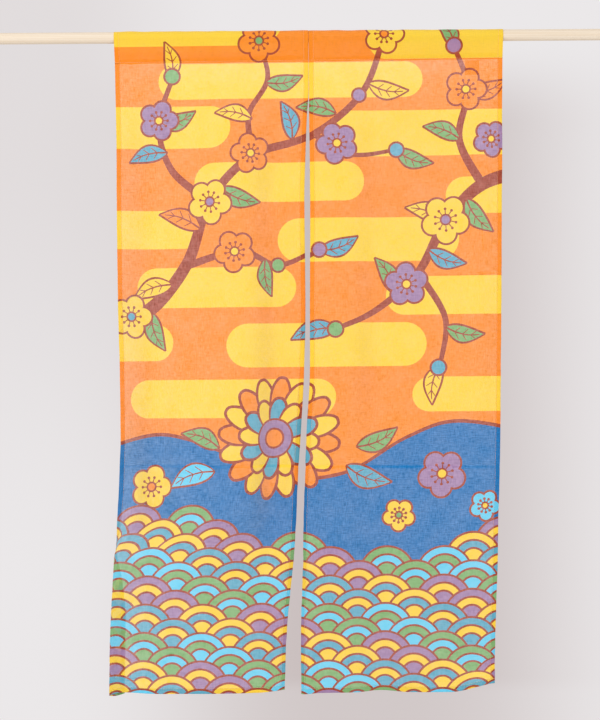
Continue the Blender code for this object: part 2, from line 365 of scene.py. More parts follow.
# %% Solving the cross-sections
# How often the strength's range is halved, and how many sections it is evened over
# each way. It would fall too fast where a rolled edge turns past a right angle.
STRENGTH_TRIES = 24
EVENED_ROWS = 24


def evened(values, reach):
    """Even out a list of values over some of its neighbours each way."""
    window = np.hanning(2 * reach + 3)[1:-1]
    return np.convolve(np.pad(values, reach, mode="edge"), window / window.sum(), mode="valid")


def hang_sections(panel):
    """Solve every cross-section: arrays of x and y, a row for each height."""
    side = 1 if panel == "left_panel" else 3
    drops = np.linspace(0.0, HEM_DROP, SECTION_ROWS + 1)
    left = curve(EDGES, side, drops / MM) * MM
    right = curve(EDGES, side + 1, drops / MM) * MM
    step = PANEL_WIDTH / SECTION_STEPS
    middles = (np.arange(SECTION_STEPS) + 0.5) * step
    rolls = roll_turns(panel, drops[:, None], middles[None, :])
    waves = wave_turns(panel, drops[:, None], middles[None, :])
    wanted = right - left - np.maximum(0.0, -np.cos(rolls)).sum(1) * step
    low = np.zeros(len(drops))
    high = np.full(len(drops), STEEPEST_WAVE)
    for _ in range(STRENGTH_TRIES):
        tried = (low + high) / 2
        wide = np.cos(rolls + tried[:, None] * waves).sum(1) * step > wanted
        low = np.where(wide, tried, low)
        high = np.where(wide, high, tried)
    strength = evened(np.maximum(low, LEAST_WAVE), EVENED_ROWS)
    strength = strength * smooth(SEAM_DROP_RIGHT, WAVES_GROWN_DROP, drops)
    turns = rolls + strength[:, None] * waves
    start = np.zeros((len(drops), 1))
    x = np.hstack([start, np.cumsum(np.cos(turns), 1) * step])
    y = np.hstack([start, np.cumsum(np.sin(turns), 1) * step])
    low_x = x.min(1, keepdims=True)
    stretch = (right - left)[:, None] / (x.max(1, keepdims=True) - low_x)
    forward = curve(BILLOW, 1 if panel == "left_panel" else 2, drops / MM) * MM
    x = left[:, None] + (x - low_x) * stretch
    y = y - y.mean(1, keepdims=True) - forward[:, None]
    return x, y


SECTIONS = {panel: hang_sections(panel) for panel in PANELS}
for panel in PANELS:
    print(panel, "waves reach", round(float(np.ptp(SECTIONS[panel][1])) / MM), "mm deep")

# %% Reading the sections
def read_grid(grid, drop, distance):
    """Read a grid of the sections between its rows and columns."""
    row = np.clip(drop / HEM_DROP, 0.0, 1.0) * (grid.shape[0] - 1)
    column = np.clip(distance / PANEL_WIDTH, 0.0, 1.0) * (grid.shape[1] - 1)
    i = np.minimum(row.astype(int), grid.shape[0] - 2)
    j = np.minimum(column.astype(int), grid.shape[1] - 2)
    down = row - i
    over = column - j
    upper = grid[i, j] * (1 - over) + grid[i, j + 1] * over
    lower = grid[i + 1, j] * (1 - over) + grid[i + 1, j + 1] * over
    return upper * (1 - down) + lower * down


def corner_shift(panel, distance, above_hem):
    """How the curls of the hem move points of the panel: right, back and up."""
    shift = np.zeros((3, len(distance)))
    for name, place, reach, right, back, up in CORNERS:
        if name == panel:
            away = np.hypot(distance - place * PANEL_WIDTH, above_hem)
            share = smooth(reach * MM, 0.0, away)
            shift += np.outer((right * MM, back * MM, up * MM), share)
    return shift

# %% [markdown]
# ## Creases and puckers
#
# The noren was folded for its packet, so two level creases cross both panels. The
# hems draw the cloth in a little and pucker it beside their stitches, and a few
# soft folds hang from the seam. Cloth simulation would give folds, but not these
# ones, so each is listed as a soft ridge or trough with its own place, depth
# and width.

# %% Creases, listed one by one
# Panel, where it starts and ends (across and drop), depth to the back, half width
CREASES = (
    ("left_panel", 0, 514, 425, 518, -1.2, 6),
    ("right_panel", 0, 518, 425, 521, -1.4, 6),
    ("left_panel", 0, 937, 425, 940, 1.5, 6),
    ("right_panel", 0, 940, 425, 943, 1.8, 6),
    ("left_panel", 108, 1080, 112, 1400, 3.2, 9),
    ("left_panel", 60, 1130, 96, 1420, -2.6, 12),
    ("left_panel", 46, 392, 120, 460, 1.3, 8),
    ("left_panel", 402, 150, 330, 420, 1.4, 12),
    ("left_panel", 378, 108, 410, 170, 1.0, 5),
    ("left_panel", 150, 60, 128, 300, 1.2, 12),
    ("left_panel", 270, 60, 300, 260, -1.1, 14),
    ("left_panel", 395, 960, 352, 1240, 1.9, 12),
    ("left_panel", 240, 1180, 262, 1432, -1.8, 13),
    ("right_panel", 378, 352, 386, 500, 1.4, 4),
    ("right_panel", 394, 330, 398, 480, -1.3, 4),
    ("right_panel", 356, 190, 350, 340, 1.0, 6),
    ("right_panel", 392, 190, 396, 330, -1.0, 6),
    ("right_panel", 22, 150, 110, 470, 1.3, 13),
    ("right_panel", 150, 58, 168, 250, -1.1, 14),
    ("right_panel", 300, 58, 284, 330, 1.2, 13),
    ("right_panel", 30, 980, 84, 1330, 1.9, 11),
    ("right_panel", 360, 1170, 330, 1432, -1.8, 13),
    ("right_panel", 372, 1345, 425, 1392, 2.6, 10),
)


def crease_lift(panel, distance, drop):
    """How far the creases push the cloth to the back."""
    lift = np.zeros(len(distance))
    for name, x0, d0, x1, d1, depth, width in CREASES:
        if name == panel:
            run = np.array((x1 - x0, d1 - d0), float)
            length = np.hypot(*run)
            across = distance / MM - x0
            down = drop / MM - d0
            along = (across * run[0] + down * run[1]) / length
            off = (across * run[1] - down * run[0]) / length
            ends = smooth(-0.04, 0.3, along / length) * smooth(1.04, 0.7, along / length)
            if abs(run[0]) > 400:
                ends = 0.45 + 0.55 * np.sin(along / 61.0 + d0) ** 2
            lift += depth * MM * ends * np.exp(-np.abs(off / width) ** 1.5)
    return lift

# %% Puckers beside the stitched hems
PUCKER_DEPTH = 0.75 * MM
PUCKER_REACH = 30 * MM


def pucker_lift(panel, distance, drop):
    """Small uneven ripples that run in from the hems and down from the seam."""
    seed = 1.0 if panel == "left_panel" else 4.2
    lift = np.zeros(len(distance))
    for side, from_edge in enumerate((distance, PANEL_WIDTH - distance)):
        shift = seed + 2.3 * side
        ripple = np.sin(drop / (8.1 * MM) + shift) * np.sin(drop / (37.0 * MM) + 2 * shift)
        ripple = ripple + 0.7 * np.sin(drop / (13.7 * MM) + 3 * shift + from_edge / (9 * MM))
        lift += PUCKER_DEPTH * 0.6 * ripple * np.exp(-from_edge / PUCKER_REACH)
    for from_edge, start in ((drop - SEAM_DROP_LEFT, 0.0), (HEM_DROP - drop, 5.1)):
        ripple = np.sin(distance / (9.3 * MM) + seed + start) * np.sin(distance / (41 * MM) + 2 * start)
        ripple = ripple + 0.7 * np.sin(distance / (15.1 * MM) + start + 2 * seed)
        fade = np.exp(-np.maximum(from_edge, 0.0) / PUCKER_REACH) * (from_edge > -0.01)
        lift += PUCKER_DEPTH * 0.55 * ripple * fade
    return lift

# %% [markdown]
# ## From flat cloth to hanging cloth
#
# A point of the flat cloth is given by how far across the panel it is and how far
# along it is from the pocket seam. Past an edge it lies on the hem, which is turned
# to the back. Above the seam it goes up the pocket's front, over the pole and down
# the pocket's back, to the raw edge that is turned in there. One function follows
# all of this, so the print, the stitches and the cloth use the same places.

# %% The pocket over the pole
HALF_SHEET = 0.6 * MM
HEM_RISE = 0.7 * MM
FOLD_REACH = 0.5 * MM
POCKET_RADIUS = 13.4 * MM
POCKET_APEX = 4 * MM
POCKET_LEAVES = math.radians(12.5)
TURNED_IN = 9 * MM


def seam_drop(x):
    """The pocket seam's drop, which is a little longer on the left."""
    share = (x + PANEL_WIDTH) / (2 * PANEL_WIDTH)
    return SEAM_DROP_LEFT + (SEAM_DROP_RIGHT - SEAM_DROP_LEFT) * share


def pocket_stretches(seam):
    """The pocket's path from the seam: the direction (back, up) and length of each part."""
    rise = seam - POCKET_APEX - POCKET_RADIUS * math.sin(POCKET_LEAVES)
    spread = POCKET_RADIUS * math.cos(POCKET_LEAVES) - HALF_SHEET
    slope = np.hypot(rise, spread)
    arc = POCKET_RADIUS * (math.pi + 2 * POCKET_LEAVES)
    return (
        (0.0, 1.0, POCKET_APEX),
        (-spread / slope, rise / slope, slope),
        ("arc", 0.0, arc),
        (-spread / slope, -rise / slope, slope),
        (0.0, -1.0, POCKET_APEX),
        (-1.0, 0.0, HALF_SHEET),
        (0.0, 1.0, 1.0),
    )

# %% Places on the pocket
def pocket_place(up, seam):
    """Where the pocket's path is, and its direction, a distance up from the seam."""
    y = np.full(len(up), -HALF_SHEET)
    z = -seam
    heading_y = np.zeros(len(up))
    heading_z = np.ones(len(up))
    rest = up.copy()
    for back, rise, length in pocket_stretches(seam):
        on = rest > 0
        gone = np.clip(rest, 0.0, length)
        if isinstance(back, str):
            start = math.pi + POCKET_LEAVES
            angle = start - gone / POCKET_RADIUS
            y = y + POCKET_RADIUS * (np.cos(angle) - math.cos(start))
            z = z + POCKET_RADIUS * (np.sin(angle) - math.sin(start))
            heading_y = np.where(on, np.sin(angle), heading_y)
            heading_z = np.where(on, -np.cos(angle), heading_z)
        else:
            y = y + back * gone
            z = z + rise * gone
            heading_y = np.where(on, back, heading_y)
            heading_z = np.where(on, rise, heading_z)
        rest = rest - length
    return y, z, heading_y, heading_z


def pocket_length(panel):
    """How much cloth the pocket takes, with the raw edge that is turned in."""
    deepest = seam_drop(-PANEL_WIDTH if panel == "left_panel" else 0.0)
    return sum(length for _, _, length in pocket_stretches(deepest)[:-1]) + TURNED_IN


POCKET_CLOTH = {panel: pocket_length(panel) for panel in PANELS}
print("pocket cloth:", {name: round(size / MM) for name, size in POCKET_CLOTH.items()}, "mm")

# %% The whole way from flat to hanging
def hang(panel, across, along, back=0.0):
    """Where points of the flat cloth hang, as rows of x, y, z.

    back moves them off the sheet, towards the back of the curtain or into the pocket.
    """
    over_side = np.maximum(-across, across - PANEL_WIDTH)
    over_hem = along - CLOTH_LENGTH
    distance = np.where(across < 0, -across, across)
    distance = np.where(across > PANEL_WIDTH, 2 * PANEL_WIDTH - across, distance)
    down = np.where(over_hem > 0, 2 * CLOTH_LENGTH - along, along)
    layers = smooth(-FOLD_REACH, FOLD_REACH, over_side) + smooth(-FOLD_REACH, FOLD_REACH, over_hem)
    grid_x, grid_y = SECTIONS[panel]
    seam = seam_drop(read_grid(grid_x, np.zeros(len(across)), distance))
    drop = seam + np.maximum(down, 0.0) / CLOTH_LENGTH * (HEM_DROP - seam)
    lift = crease_lift(panel, distance, drop) + pucker_lift(panel, distance, drop)
    offset = layers * HEM_RISE + lift + back
    row = SEAM_DROP_RIGHT + np.maximum(down, 0.0)
    reach = 1.5 * MM
    x = read_grid(grid_x, row, distance)
    y = read_grid(grid_y, row, distance)
    run_x = read_grid(grid_x, row, distance + reach) - read_grid(grid_x, row, distance - reach)
    run_y = read_grid(grid_y, row, distance + reach) - read_grid(grid_y, row, distance - reach)
    run = np.hypot(run_x, run_y)
    shift = corner_shift(panel, distance, CLOTH_LENGTH - down)
    hung = np.stack([
        x - run_y / run * (offset - HALF_SHEET) + shift[0],
        y + run_x / run * (offset - HALF_SHEET) + shift[1],
        shift[2] - drop,
    ], 1)
    y, z, heading_y, heading_z = pocket_place(np.maximum(-along, 0.0), seam)
    x = read_grid(grid_x, np.clip(-z, 0.0, SEAM_DROP_RIGHT), distance)
    offset = np.minimum(offset, POCKET_RADIUS - POLE_RADIUS)
    pocket = np.stack([x, y + heading_z * offset, z - heading_y * offset], 1)
    return np.where((along < 0)[:, None], pocket, hung)


def facing(panel, across, along, back=0.0):
    """The unit vector out of the cloth's printed face at its points."""
    reach = 0.4 * MM
    over = hang(panel, across + reach, along, back) - hang(panel, across - reach, along, back)
    down = hang(panel, across, along + reach, back) - hang(panel, across, along - reach, back)
    normal = np.cross(down, over)
    return normal / np.maximum(np.linalg.norm(normal, axis=1, keepdims=True), 1e-12)

# %% [markdown]
# ## The print
#
# The real cloth is printed with one large picture in flat inks with brown outlines.
# Here its place holds a traditional mixture of the same inks at the same scale:
# bands of mist, plum branches, a large chrysanthemum and overlapping waves. An
# image could hold the print, but drawn shapes stay sharp at any distance. So each
# motif is a closed outline in the flat cloth's millimetres, and the shapes are laid
# on each other in a painter's order.

# %% Inks
INKS = {
    "yellow": linear("#F9D238"),
    "orange": linear("#F98F1B"),
    "brown": linear("#A24327"),
    "blue": linear("#0073B5"),
    "purple": linear("#A181A9"),
    "aqua": linear("#5CABC4"),
    "sky": linear("#65D0EF"),
    "green": linear("#7EB16E"),
}
OUTLINE = 4.5
LONGEST_EDGE = 8.0
SHAPES = []


def lay(ink, outline):
    """Lay a shape of one ink on those that are there.

    Long edges get points between their ends, so that they can bend with the cloth.
    """
    points = []
    for start, end in zip(outline, [*outline[1:], outline[0]]):
        pieces = max(1, math.ceil(math.dist(start, end) / LONGEST_EDGE))
        for i in range(pieces):
            points.append([a + (b - a) * i / pieces for a, b in zip(start, end)])
    SHAPES.append((ink, np.array(points)))

# %% Drawing helpers
def placed(points, x, y, turn):
    """Turn points about the origin by some radians, then move them to (x, y)."""
    c = math.cos(turn)
    s = math.sin(turn)
    return [(x + px * c - py * s, y + px * s + py * c) for px, py in points]


def arc_points(x, y, radius, start=0.0, end=360.0, step=5.0):
    """Points along an arc, in degrees, a step of some millimetres apart."""
    count = max(8, round(abs(math.radians(end - start)) * radius / step))
    angles = [math.radians(start + (end - start) * i / count) for i in range(count + (end - start < 360))]
    return [(x + radius * math.cos(a), y + radius * math.sin(a)) for a in angles]


def flowing(points, closed, step=6.0):
    """A smooth line through points."""
    count = len(points)
    line = []
    for i in range(count if closed else count - 1):
        four = []
        for k in (-1, 0, 1, 2):
            j = (i + k) % count if closed else min(max(i + k, 0), count - 1)
            four.append(points[j])
        pieces = max(2, round(math.dist(four[1], four[2]) / step))
        for piece in range(pieces):
            t = piece / pieces
            line.append(tuple(
                b + 0.5 * (
                    (c - a) * t + (2 * a - 5 * b + 4 * c - d) * t * t + (3 * b - a - 3 * c + d) * t ** 3
                )
                for a, b, c, d in zip(*four)
            ))
    return line if closed else line + [points[-1]]


def brush(ink, points, widths, step=7.0):
    """A line whose width changes evenly along it."""
    line = flowing(points, False, step)
    last = len(line) - 1
    left = []
    right = []
    for i, (x, y) in enumerate(line):
        ax, ay = line[max(i - 1, 0)]
        bx, by = line[min(i + 1, last)]
        run = math.hypot(bx - ax, by - ay)
        half = float(np.interp(i / last, np.linspace(0, 1, len(widths)), widths)) / 2
        left.append((x - (by - ay) / run * half, y + (bx - ax) / run * half))
        right.append((x + (by - ay) / run * half, y - (bx - ax) / run * half))
    lay(ink, left + right[::-1])

# %% Blossoms, leaves and buds
def blossom(x, y, size, degrees, ink, heart):
    """A plum blossom: five round petals, and stamens round its heart."""
    turns = [math.radians(degrees + 72 * k) for k in range(5)]
    centres = [(x + math.cos(a) * size * 0.56, y + math.sin(a) * size * 0.56) for a in turns]
    for cx, cy in centres:
        lay("brown", arc_points(cx, cy, size * 0.44 + OUTLINE / 2))
    for cx, cy in centres:
        lay(ink, arc_points(cx, cy, size * 0.44 - OUTLINE / 2))
    lay(ink, arc_points(x, y, size * 0.42))
    for k in range(10):
        out = (math.cos(turns[0] + math.radians(36 * k)), math.sin(turns[0] + math.radians(36 * k)))
        stamen = [
            (x + c * size, y + s * size)
            for c, s in ((out[0] * 0.2, out[1] * 0.2), (out[0] * 0.44, out[1] * 0.44))
        ]
        brush("brown", stamen, (2.3, 1.9))
        lay("brown", arc_points(*stamen[1], 3.2))
    lay("brown", arc_points(x, y, size * 0.2 + OUTLINE / 2))
    lay(heart, arc_points(x, y, size * 0.2 - OUTLINE / 3))


def leaf(x, y, length, degrees, ink):
    """A pointed leaf with a bent midrib and three pairs of veins."""
    turn = math.radians(degrees)
    wide = length * 0.42

    def bent(points):
        return [(px, py + 0.10 * length * math.sin(math.pi * px / length)) for px, py in points]

    def edge(grow):
        shares = [i / 12 for i in range(13)]
        top = [(length * t, wide / 2 * math.sin(math.pi * t ** 0.8) + grow) for t in shares]
        top = [(min(max(px, -grow), length + 2 * grow), max(py, 0.4)) for px, py in top]
        return top + [(px, -py) for px, py in top[::-1]]

    lay("brown", placed(bent(edge(OUTLINE / 2)), x, y, turn))
    lay(ink, placed(bent(edge(-OUTLINE / 2)), x, y, turn))
    rib = [(0, 0), (length * 0.3, 0), (length * 0.6, 0), (length * 0.86, 0)]
    brush("brown", placed(bent(rib), x, y, turn), (4.2, 2.0))
    for k in range(3):
        t = 0.25 + 0.2 * k
        reach = wide * 0.34 * math.sin(math.pi * (t + 0.1) ** 0.8)
        for side in (1, -1):
            vein = [(length * t, 0), (length * (t + 0.12), side * reach)]
            brush("brown", placed(bent(vein), x, y, turn), (2.3, 1.6))


def bud(x, y, radius, ink):
    """A round bud with a brown outline."""
    lay("brown", arc_points(x, y, radius + OUTLINE))
    lay(ink, arc_points(x, y, radius))

# %% The chrysanthemum, the mist and the waves
def chrysanthemum(x, y, size, inks, heart):
    """A large rosette of two rounds of petals about a round heart."""
    for radius, count, first, second in ((size, 16, *inks[:2]), (size * 0.66, 12, *inks[2:])):
        wide = 2 * math.pi * radius * 0.74 / count * 1.08
        for k in range(count):
            for ink, grow in (("brown", OUTLINE), (second if k % 2 else first, -0.4 * OUTLINE)):
                tip = radius + grow
                half = (wide + grow * 1.8) / 2
                shape = [
                    (0, 0), (tip * 0.35, half * 0.72), (tip * 0.72, half), (tip * 0.95, half * 0.56),
                    (tip, 0),
                ]
                shape += [(px, -py) for px, py in shape[3:0:-1]]
                lay(ink, placed(flowing(shape, True), x, y, 0.1 + 2 * math.pi * k / count))
    lay("brown", arc_points(x, y, size * 0.30 + OUTLINE))
    lay(heart, arc_points(x, y, size * 0.30))
    lay("brown", arc_points(x, y, size * 0.16 + OUTLINE / 2))
    lay(inks[0], arc_points(x, y, size * 0.16 - OUTLINE / 2))


def mist(x0, x1, y, thick):
    """A level band of mist with round ends."""
    radius = thick / 2
    left = arc_points(x0 + radius, y, radius, 90, 270, 9)
    lay("yellow", left + arc_points(x1 - radius, y, radius, -90, 90, 9))


def wave_scale(x, y, radius, inks):
    """One scale of the overlapping waves: rings inside each other, cut off level below."""
    def half(size):
        foot = y + radius * 0.5
        return arc_points(x, y, size, 180, 360, 6) + [(x + size, foot), (x - size, foot)]

    lay("brown", half(radius))
    size = radius - OUTLINE
    for ink in inks:
        lay(ink, half(size))
        size -= radius * 0.21
        lay("brown", half(size))
        size -= OUTLINE
    lay(inks[0], half(size))

# %% [markdown]
# The layout is in millimetres from the curtain's middle and below the pole. Warm
# inks fill the upper two thirds and blue the lower third, as on the real cloth.
# Larger things are laid first, and what lies on them later.

# %% Ground, mist and branches
PRINT_SIDE = 480
PRINT_TOP = -130
PRINT_FOOT = 1490
PRINT_SEAM_DROP = 55.0

lay("orange", [
    (-PRINT_SIDE, PRINT_TOP), (PRINT_SIDE, PRINT_TOP), (PRINT_SIDE, PRINT_FOOT), (-PRINT_SIDE, PRINT_FOOT)
])
# Left end, right end, drop, thickness
MISTS = (
    (-520, -60, -30, 96), (130, 520, 10, 84), (-330, 250, 96, 78), (-520, -170, 196, 92),
    (40, 520, 214, 100), (-250, 120, 318, 86), (300, 560, 352, 80), (-520, -230, 420, 84),
    (-60, 330, 446, 96), (-380, -20, 548, 88), (170, 540, 570, 84), (-520, -300, 668, 80),
    (-180, 260, 676, 96), (-400, 60, 792, 84), (230, 540, 786, 76),
)
for row in MISTS:
    mist(*row)

# Points along each branch, then its width at even places along it
BRANCHES = (
    (((-480, 640), (-360, 600), (-270, 500), (-215, 360), (-120, 260), (10, 215), (120, 120), (170, -20)),
     (34, 30, 25, 20, 18, 16, 14, 12)),
    (((-270, 500), (-150, 470), (-60, 500), (20, 470)), (18, 14, 12, 10)),
    (((-215, 360), (-300, 290), (-330, 190), (-300, 90)), (19, 15, 12, 10)),
    (((-120, 260), (-130, 170), (-90, 90), (-110, 10)), (15, 12, 11, 9)),
    (((10, 215), (90, 260), (190, 250)), (13, 10, 8)),
    (((480, 300), (380, 330), (300, 410), (240, 520), (150, 600), (60, 640)), (32, 27, 22, 18, 14, 10)),
    (((380, 330), (330, 230), (350, 120), (320, 30)), (20, 16, 13, 10)),
    (((240, 520), (300, 620), (290, 720)), (16, 13, 10)),
)
for line, widths in BRANCHES:
    brush("brown", line, widths)
print(len(MISTS), "bands of mist and", len(BRANCHES), "branches")

# %% Leaves, blossoms and buds on the branches
# Foot of the leaf, its length, its direction in degrees, ink
LEAVES = (
    (-350, 600, 92, 70, "green"), (-300, 540, 96, 160, "yellow"), (-236, 420, 100, -160, "orange"),
    (-190, 330, 96, 20, "green"), (-310, 250, 90, 165, "aqua"), (-330, 190, 88, -20, "green"),
    (-300, 90, 84, -100, "yellow"), (-122, 180, 86, 190, "yellow"), (-95, 100, 84, -10, "green"),
    (-30, 225, 90, -110, "aqua"), (60, 170, 88, -170, "green"), (130, 105, 92, 10, "yellow"),
    (190, 250, 90, 20, "green"), (-90, 485, 86, 80, "green"), (20, 470, 92, -20, "aqua"),
    (345, 360, 96, 50, "green"), (300, 410, 96, 200, "yellow"), (262, 470, 92, 20, "aqua"),
    (332, 230, 88, 200, "green"), (350, 130, 90, -20, "orange"), (320, 30, 84, -120, "green"),
    (190, 565, 92, -120, "green"), (60, 640, 96, 165, "aqua"), (300, 640, 90, 10, "green"),
    (290, 720, 92, 100, "yellow"),
)
for row in LEAVES:
    leaf(*row)

# Middle of the blossom, its radius, its turn in degrees, petals, heart
BLOSSOMS = (
    (-215, 360, 50, 10, "yellow", "purple"), (-125, 255, 44, 40, "orange", "yellow"),
    (-330, 180, 44, 0, "purple", "yellow"), (-108, 8, 46, 20, "orange", "green"),
    (60, 235, 46, 30, "purple", "yellow"), (165, -4, 44, 0, "yellow", "orange"),
    (-160, 470, 46, 25, "orange", "yellow"), (300, 405, 54, 15, "yellow", "purple"),
    (345, 120, 46, 0, "orange", "yellow"), (215, 545, 48, 50, "purple", "yellow"),
    (-395, 610, 48, 0, "yellow", "aqua"), (400, 230, 40, 12, "purple", "yellow"),
)
for row in BLOSSOMS:
    blossom(*row)

# Middle of the bud, its radius, ink
BUDS = (
    (-300, 84, 15, "green"), (20, 468, 14, "purple"), (192, 250, 14, "aqua"), (56, 642, 15, "green"),
    (318, 24, 15, "purple"), (286, 728, 15, "aqua"), (-60, 500, 13, "green"), (110, 130, 13, "purple"),
)
for row in BUDS:
    bud(*row)

# %% The blue ground and what lies on it
SHORE = ((-490, 905), (-330, 870), (-190, 905), (-60, 965), (90, 955), (220, 880), (330, 845), (490, 870))
shore = flowing(SHORE, False, 12)
lay("brown", [(x, y - 4) for x, y in shore] + [(490, 1500), (-490, 1500)])
lay("blue", [(x, y + 4) for x, y in shore] + [(490, 1500), (-490, 1500)])
chrysanthemum(-60, 880, 132, ("orange", "yellow", "yellow", "aqua"), "purple")
LOW_LEAVES = (
    (90, 940, 110, 20, "aqua"), (110, 900, 100, -25, "green"), (-200, 950, 110, 160, "sky"),
    (-190, 900, 96, 200, "green"),
)
for row in LOW_LEAVES:
    leaf(*row)
LOW_BLOSSOMS = (
    (-350, 985, 48, 0, "yellow", "orange"), (300, 960, 52, 20, "purple", "yellow"),
    (210, 1050, 36, 20, "yellow", "green"), (395, 1030, 34, 10, "sky", "yellow"),
    (-250, 1060, 34, 10, "aqua", "yellow"),
)
for row in LOW_BLOSSOMS:
    blossom(*row)

# %% Overlapping waves along the foot
SCALE_RADIUS = 62
SCALE_INKS = (
    ("yellow", "aqua"), ("sky", "green"), ("purple", "yellow"), ("aqua", "yellow"), ("green", "sky"),
)
FIRST_SCALE_ROW = 1085
SCALE_ROWS = 14
SCALE_COLUMNS = 9

for row in range(SCALE_ROWS):
    y = FIRST_SCALE_ROW + row * SCALE_RADIUS / 2
    for column in range(SCALE_COLUMNS):
        x = -8 * SCALE_RADIUS + column * 2 * SCALE_RADIUS + (SCALE_RADIUS if row % 2 else 0)
        crest = 1116 + 44 * math.sin((x + 100) / 150)
        if y > crest:
            wave_scale(x, y, SCALE_RADIUS, SCALE_INKS[(column * 2 + row * 3) % 5])
print(len(SHAPES), "shapes with", sum(len(outline) for _, outline in SHAPES), "points")

# %% [markdown]
# ## Cutting the cloth along the print
#
# If the ink's edges run along the mesh's edges, the print is as sharp as the mesh,
# with no picture file. So the flat panel is divided into triangles that keep every
# motif's outline as an edge. Each triangle takes the ink of the topmost shape over
# its middle. Rows and columns are closer together where the cloth bends sharply:
# over the pole, at the turned hems and in the rolled edge.

# %% Rows, columns and edges of the flat panel
GRID = 6.5
BEND_STEP = 2.0


def spaced(start, end, step):
    """Places from start to end, about a step apart."""
    return list(np.linspace(start, end, max(2, round((end - start) / step) + 1)))


def panel_columns():
    """Distances across the flat panel, in millimetres."""
    width = PANEL_WIDTH / MM
    fold = FOLD_REACH / MM
    rolled = spaced(26, 54, BEND_STEP)
    places = [-SIDE_HEM / MM, -5.5, -fold, 0.0, fold, *spaced(5, 22, 4), *rolled]
    places += spaced(60, width - 28, GRID) + spaced(width - 24, width - 4, 4)
    return places + [width - fold, width, width + fold, width + 5.5, width + SIDE_HEM / MM]


def panel_rows(panel):
    """Distances along the flat panel from the seam, in millimetres."""
    top = -POCKET_CLOTH[panel] / MM
    length = CLOTH_LENGTH / MM
    fold = FOLD_REACH / MM
    bottom = [length - fold, length, length + fold, length + 6, length + BOTTOM_HEM / MM]
    creases = [y for middle in (464, 887) for y in spaced(middle - 6, middle + 6, BEND_STEP)]
    even = [y for y in spaced(0.0, length - 4, GRID) if all(abs(y - crease) > 2 for crease in creases)]
    return spaced(top, -4.0, BEND_STEP) + [-2.0] + sorted(even + creases) + bottom


def flat_panel(panel):
    """Points and edges to divide the flat panel along, in millimetres."""
    columns = panel_columns()
    rows = panel_rows(panel)
    points = [(x, y) for y in rows for x in columns]
    edges = []
    wide = len(columns)
    for i, y in enumerate(rows):
        if i in (0, len(rows) - 1) or y <= 0 or y > rows[-6]:
            edges += [(i * wide + j, i * wide + j + 1) for j in range(wide - 1)]
    for j, x in enumerate(columns):
        if x < 1 or x > PANEL_WIDTH / MM - 1:
            edges += [(i * wide + j, (i + 1) * wide + j) for i in range(len(rows) - 1)]
    shift = PANEL_WIDTH / MM if panel == "left_panel" else 0.0
    low = np.array((columns[0], rows[0]))
    high = np.array((columns[-1], rows[-1]))
    outlines = []
    for ink, outline in SHAPES:
        flat = outline + (shift, -PRINT_SEAM_DROP)
        if (flat.max(0) > low).all() and (flat.min(0) < high).all():
            outlines.append((ink, flat))
            first = len(points)
            count = len(flat)
            points += [tuple(point) for point in flat]
            edges += [(first + i, first + (i + 1) % count) for i in range(count)]
    return points, edges, outlines, low, high

# %% Inks of the triangles
def inside(x, y, outline):
    """Which places lie inside a closed outline, by counting the edges beside them."""
    ax, ay = outline.T
    bx, by = np.roll(outline, -1, axis=0).T
    crossed = (ay > y[:, None]) != (by > y[:, None])
    rise = np.where(by == ay, 1.0, by - ay)
    crossing = ax + (y[:, None] - ay) / rise * (bx - ax)
    return ((x[:, None] < crossing) & crossed).sum(1) % 2 == 1


def ink_of(middles, outlines):
    """The linear colour of the topmost shape at each place."""
    colours = np.tile(np.array(INKS["orange"]), (len(middles), 1))
    for ink, outline in outlines:
        low = outline.min(0)
        high = outline.max(0)
        near = np.nonzero(((middles > low) & (middles < high)).all(1))[0]
        if len(near):
            hit = near[inside(middles[near, 0], middles[near, 1], outline)]
            colours[hit] = INKS[ink]
    return colours

# %% One panel's mesh
STRIPS = 2
STRIP_GAP = 0.004
BOLT_PLACE = {"left_panel": 0.0, "right_panel": 500 * MM}


def panel_mesh(panel):
    """The hanging, printed sheet of one panel."""
    points, edges, outlines, low, high = flat_panel(panel)
    flat, _, faces, *_ = delaunay_2d_cdt(points, edges, [], 0, 1e-4)
    flat = np.array([tuple(point) for point in flat])
    faces = np.array(faces)
    middles = flat[faces].mean(1)
    faces = faces[((middles > low) & (middles < high)).all(1)][:, ::-1]
    used, faces = np.unique(faces, return_inverse=True)
    faces = faces.reshape(-1, 3)
    flat = flat[used]
    middles = flat[faces].mean(1)
    across = flat[:, 0] * MM
    along = flat[:, 1] * MM
    mesh = bpy.data.meshes.new(panel + "_cloth")
    mesh.from_pydata(hang(panel, across, along).tolist(), [], faces.tolist())
    ink = mesh.color_attributes.new("ink", "FLOAT_COLOR", "CORNER")
    ink.data.foreach_set("color", np.repeat(ink_of(middles, outlines), 3, axis=0).ravel())
    cloth_map = mesh.uv_layers.new(name="cloth")
    cloth_map.data.foreach_set("uv", (flat[faces] * MM + (BOLT_PLACE[panel], 0.0)).ravel())
    strip_length = (high[1] - low[1]) / STRIPS
    strip = np.minimum((middles[:, 1] - low[1]) // strip_length, STRIPS - 1)
    strip_corner = np.stack([strip * 0, low[1] + strip * strip_length], 1) + (low[0], 0.0)
    share = (flat[faces] - strip_corner[:, None]) / ((high[0] - low[0]) * 1.06, strip_length * 1.03)
    share = (share * (1 / STRIPS, 1.0) + np.stack([strip / STRIPS, strip * 0], 1)[:, None]) + STRIP_GAP
    bake_map = mesh.uv_layers.new(name="OFBake")
    bake_map.data.foreach_set("uv", share.ravel())
    mesh.polygons.foreach_set("use_smooth", [True] * len(faces))
    mesh.normals_split_custom_set_from_vertices(facing(panel, across, along).tolist())
    return mesh

